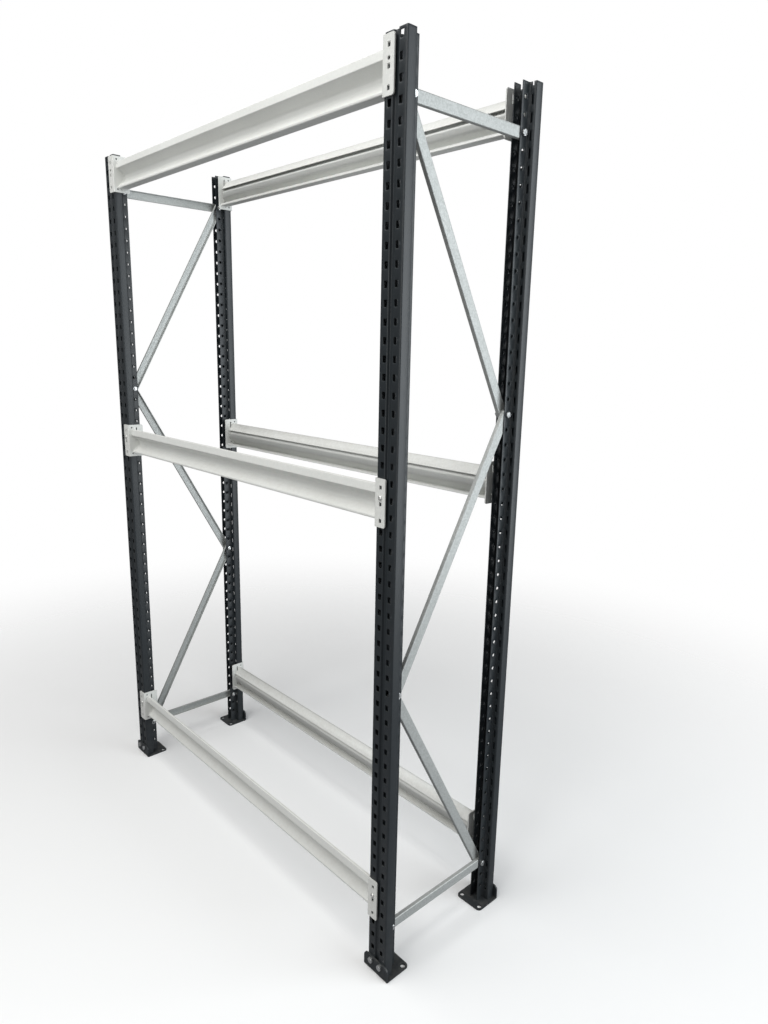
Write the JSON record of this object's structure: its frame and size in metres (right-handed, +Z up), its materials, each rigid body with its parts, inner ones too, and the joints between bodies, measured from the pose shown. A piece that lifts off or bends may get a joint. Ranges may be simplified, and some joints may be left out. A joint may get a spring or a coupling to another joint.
{
  "type": "tyre storage rack",
  "caption": "Free-standing boltless rack with slotted uprights, diagonal braced side frames and paired hook-in beams that carry upright wheels and tyres.",
  "frame": {"origin": "on the floor, in the middle of the four feet", "axes": "+X along the beams to the right, +Y from front to rear, +Z up"},
  "size_m": [1.34, 0.4186, 2],
  "materials": {
    "anthracite_powder_coat": "satin anthracite powder coat on roll-formed steel",
    "light_grey_powder_coat": "satin light grey powder coat on steel",
    "galvanised_sheet": "hot-dip galvanised sheet with fine spangle",
    "zinc_fastener": "bright zinc plate",
    "pin_steel": "bright zinc plate, satin"
  },
  "bodies": {
    "rack_frame": {"upright_front_right": "anthracite_powder_coat", "upright_front_left": "anthracite_powder_coat", "upright_back_right": "anthracite_powder_coat", "upright_back_left": "anthracite_powder_coat", "foot_plate_front_right": "anthracite_powder_coat", "foot_plate_front_left": "anthracite_powder_coat", "foot_plate_back_right": "anthracite_powder_coat", "foot_plate_back_left": "anthracite_powder_coat", "foot_bolts": "zinc_fastener", "foot_nuts": "zinc_fastener", "brace_right_top_horizontal": "galvanised_sheet", "brace_right_upper_diagonal": "galvanised_sheet", "brace_right_middle_diagonal": "galvanised_sheet", "brace_right_lower_diagonal": "galvanised_sheet", "brace_right_bottom_horizontal": "galvanised_sheet", "brace_bolts_right": "zinc_fastener", "brace_nuts_right": "zinc_fastener", "brace_sleeves_right": "zinc_fastener", "brace_left_top_horizontal": "galvanised_sheet", "brace_left_upper_diagonal": "galvanised_sheet", "brace_left_middle_diagonal": "galvanised_sheet", "brace_left_lower_diagonal": "galvanised_sheet", "brace_left_bottom_horizontal": "galvanised_sheet", "brace_bolts_left": "zinc_fastener", "brace_nuts_left": "zinc_fastener", "brace_sleeves_left": "zinc_fastener", "beam_middle_front": "light_grey_powder_coat", "beam_middle_back": "light_grey_powder_coat", "beam_bottom_front": "light_grey_powder_coat", "beam_bottom_back": "light_grey_powder_coat", "connector_middle_front_right": "light_grey_powder_coat", "connector_middle_front_left": "light_grey_powder_coat", "connector_middle_back_right": "light_grey_powder_coat", "connector_middle_back_left": "light_grey_powder_coat", "connector_bottom_front_right": "light_grey_powder_coat", "connector_bottom_front_left": "light_grey_powder_coat", "connector_bottom_back_right": "light_grey_powder_coat", "connector_bottom_back_left": "light_grey_powder_coat"},
    "top_beam_front": {"beam_top_front": "light_grey_powder_coat", "connector_top_front_left": "light_grey_powder_coat", "connector_top_front_right": "light_grey_powder_coat"},
    "top_beam_back": {"beam_top_back": "light_grey_powder_coat", "connector_top_back_left": "light_grey_powder_coat", "connector_top_back_right": "light_grey_powder_coat"},
    "lock_pin_middle_front_right": {"lock_pin_middle_front_right": "pin_steel"},
    "lock_pin_middle_front_left": {"lock_pin_middle_front_left": "pin_steel"},
    "lock_pin_middle_back_right": {"lock_pin_middle_back_right": "pin_steel"},
    "lock_pin_middle_back_left": {"lock_pin_middle_back_left": "pin_steel"},
    "lock_pin_bottom_front_right": {"lock_pin_bottom_front_right": "pin_steel"},
    "lock_pin_bottom_front_left": {"lock_pin_bottom_front_left": "pin_steel"},
    "lock_pin_bottom_back_right": {"lock_pin_bottom_back_right": "pin_steel"},
    "lock_pin_bottom_back_left": {"lock_pin_bottom_back_left": "pin_steel"}
  },
  "joints": [
    {"name": "top_beam_front_lift", "type": "slide", "parent": "rack_frame", "child": "top_beam_front", "axis": [0, 0, 1], "range_m": [0, 0.006]},
    {"name": "top_beam_back_lift", "type": "slide", "parent": "rack_frame", "child": "top_beam_back", "axis": [0, 0, 1], "range_m": [0, 0.006]},
    {"name": "lock_pin_middle_front_right_pull", "type": "slide", "parent": "rack_frame", "child": "lock_pin_middle_front_right", "axis": [0, -1, 0], "range_m": [0, 0.012]},
    {"name": "lock_pin_middle_front_left_pull", "type": "slide", "parent": "rack_frame", "child": "lock_pin_middle_front_left", "axis": [0, -1, 0], "range_m": [0, 0.012]},
    {"name": "lock_pin_middle_back_right_pull", "type": "slide", "parent": "rack_frame", "child": "lock_pin_middle_back_right", "axis": [0, 1, 0], "range_m": [0, 0.012]},
    {"name": "lock_pin_middle_back_left_pull", "type": "slide", "parent": "rack_frame", "child": "lock_pin_middle_back_left", "axis": [0, 1, 0], "range_m": [0, 0.012]},
    {"name": "lock_pin_bottom_front_right_pull", "type": "slide", "parent": "rack_frame", "child": "lock_pin_bottom_front_right", "axis": [0, -1, 0], "range_m": [0, 0.012]},
    {"name": "lock_pin_bottom_front_left_pull", "type": "slide", "parent": "rack_frame", "child": "lock_pin_bottom_front_left", "axis": [0, -1, 0], "range_m": [0, 0.012]},
    {"name": "lock_pin_bottom_back_right_pull", "type": "slide", "parent": "rack_frame", "child": "lock_pin_bottom_back_right", "axis": [0, 1, 0], "range_m": [0, 0.012]},
    {"name": "lock_pin_bottom_back_left_pull", "type": "slide", "parent": "rack_frame", "child": "lock_pin_bottom_back_left", "axis": [0, 1, 0], "range_m": [0, 0.012]}
  ]
}
